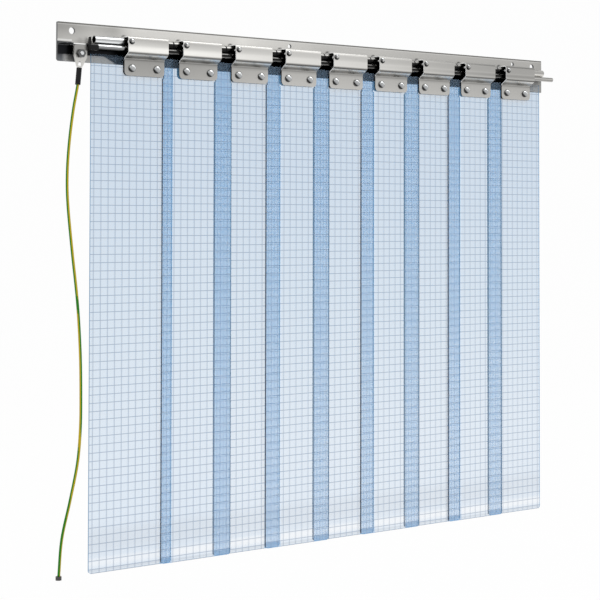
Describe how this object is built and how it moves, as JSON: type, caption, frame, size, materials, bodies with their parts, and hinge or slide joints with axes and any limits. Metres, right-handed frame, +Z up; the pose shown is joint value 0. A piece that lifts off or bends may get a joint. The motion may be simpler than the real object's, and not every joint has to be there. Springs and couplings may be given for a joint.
{
  "type": "strip curtain",
  "caption": "Clear gridded strips clamped in hook-over hangers on a stainless wall rail, with a sliding locking rod and a green and yellow earth lead.",
  "frame": {"origin": "middle of the rail plate's back face, which lies on the wall", "axes": "+X along the rail towards the end where the locking rod draws out, +Y into the wall, +Z up"},
  "size_m": [0.7814, 0.0263, 0.6304],
  "materials": {
    "stainless": "fine satin stainless sheet",
    "bright_steel": "bright drawn stainless",
    "clear_pvc": "clear bluish soft pvc with a printed blue grid",
    "black_nylon": "moulded black plastic",
    "black_rubber": "black rubber packing sheet",
    "lead_cover": "green and yellow pvc cover"
  },
  "bodies": {
    "rail": {"rail_plate": "stainless", "shelf": "stainless", "hanging_tube": "bright_steel", "end_stop": "black_nylon", "saddle_1": "black_nylon", "saddle_2": "black_nylon", "saddle_3": "black_nylon", "saddle_4": "black_nylon", "saddle_5": "black_nylon", "saddle_6": "black_nylon", "saddle_7": "black_nylon", "saddle_8": "black_nylon", "saddle_9": "black_nylon", "earth_bolt": "bright_steel", "earth_nut": "bright_steel", "earth_lug": "bright_steel", "lead_sleeve": "black_nylon", "earth_lead": "lead_cover", "lead_ferrule": "bright_steel"},
    "rod": {"locking_rod": "bright_steel"},
    "curtain_1": {"hanger_1": "stainless", "strip_1": "clear_pvc", "packing_1": "black_rubber", "nut_plate_1": "bright_steel"},
    "curtain_2": {"hanger_2": "stainless", "strip_2": "clear_pvc", "packing_2": "black_rubber", "nut_plate_2": "bright_steel"},
    "curtain_3": {"hanger_3": "stainless", "strip_3": "clear_pvc", "packing_3": "black_rubber", "nut_plate_3": "bright_steel"},
    "curtain_4": {"hanger_4": "stainless", "strip_4": "clear_pvc", "packing_4": "black_rubber", "nut_plate_4": "bright_steel"},
    "curtain_5": {"hanger_5": "stainless", "strip_5": "clear_pvc", "packing_5": "black_rubber", "nut_plate_5": "bright_steel"},
    "curtain_6": {"hanger_6": "stainless", "strip_6": "clear_pvc", "packing_6": "black_rubber", "nut_plate_6": "bright_steel"},
    "curtain_7": {"hanger_7": "stainless", "strip_7": "clear_pvc", "packing_7": "black_rubber", "nut_plate_7": "bright_steel"},
    "curtain_8": {"hanger_8": "stainless", "strip_8": "clear_pvc", "packing_8": "black_rubber", "nut_plate_8": "bright_steel"},
    "curtain_9": {"hanger_9": "stainless", "strip_9": "clear_pvc", "packing_9": "black_rubber", "nut_plate_9": "bright_steel"}
  },
  "joints": [
    {"name": "rod_slide", "type": "slide", "parent": "rail", "child": "rod", "axis": [1, 0, 0], "range_m": [0, 0.6]},
    {"name": "strip_swing_1", "type": "hinge", "parent": "rail", "child": "curtain_1", "pos_m": [-0.27625, -0.012, 0.0034], "axis": [1, 0, 0], "range_deg": [0, 9]},
    {"name": "strip_swing_2", "type": "hinge", "parent": "rail", "child": "curtain_2", "pos_m": [-0.20125, -0.012, 0.0034], "axis": [1, 0, 0], "range_deg": [-50, 0]},
    {"name": "strip_swing_3", "type": "hinge", "parent": "rail", "child": "curtain_3", "pos_m": [-0.12625, -0.012, 0.0034], "axis": [1, 0, 0], "range_deg": [0, 9]},
    {"name": "strip_swing_4", "type": "hinge", "parent": "rail", "child": "curtain_4", "pos_m": [-0.05125, -0.012, 0.0034], "axis": [1, 0, 0], "range_deg": [-50, 0]},
    {"name": "strip_swing_5", "type": "hinge", "parent": "rail", "child": "curtain_5", "pos_m": [0.02375, -0.012, 0.0034], "axis": [1, 0, 0], "range_deg": [0, 9]},
    {"name": "strip_swing_6", "type": "hinge", "parent": "rail", "child": "curtain_6", "pos_m": [0.09875, -0.012, 0.0034], "axis": [1, 0, 0], "range_deg": [-50, 0]},
    {"name": "strip_swing_7", "type": "hinge", "parent": "rail", "child": "curtain_7", "pos_m": [0.17375, -0.012, 0.0034], "axis": [1, 0, 0], "range_deg": [0, 9]},
    {"name": "strip_swing_8", "type": "hinge", "parent": "rail", "child": "curtain_8", "pos_m": [0.24875, -0.012, 0.0034], "axis": [1, 0, 0], "range_deg": [-50, 0]},
    {"name": "strip_swing_9", "type": "hinge", "parent": "rail", "child": "curtain_9", "pos_m": [0.32375, -0.012, 0.0034], "axis": [1, 0, 0], "range_deg": [0, 9]}
  ]
}
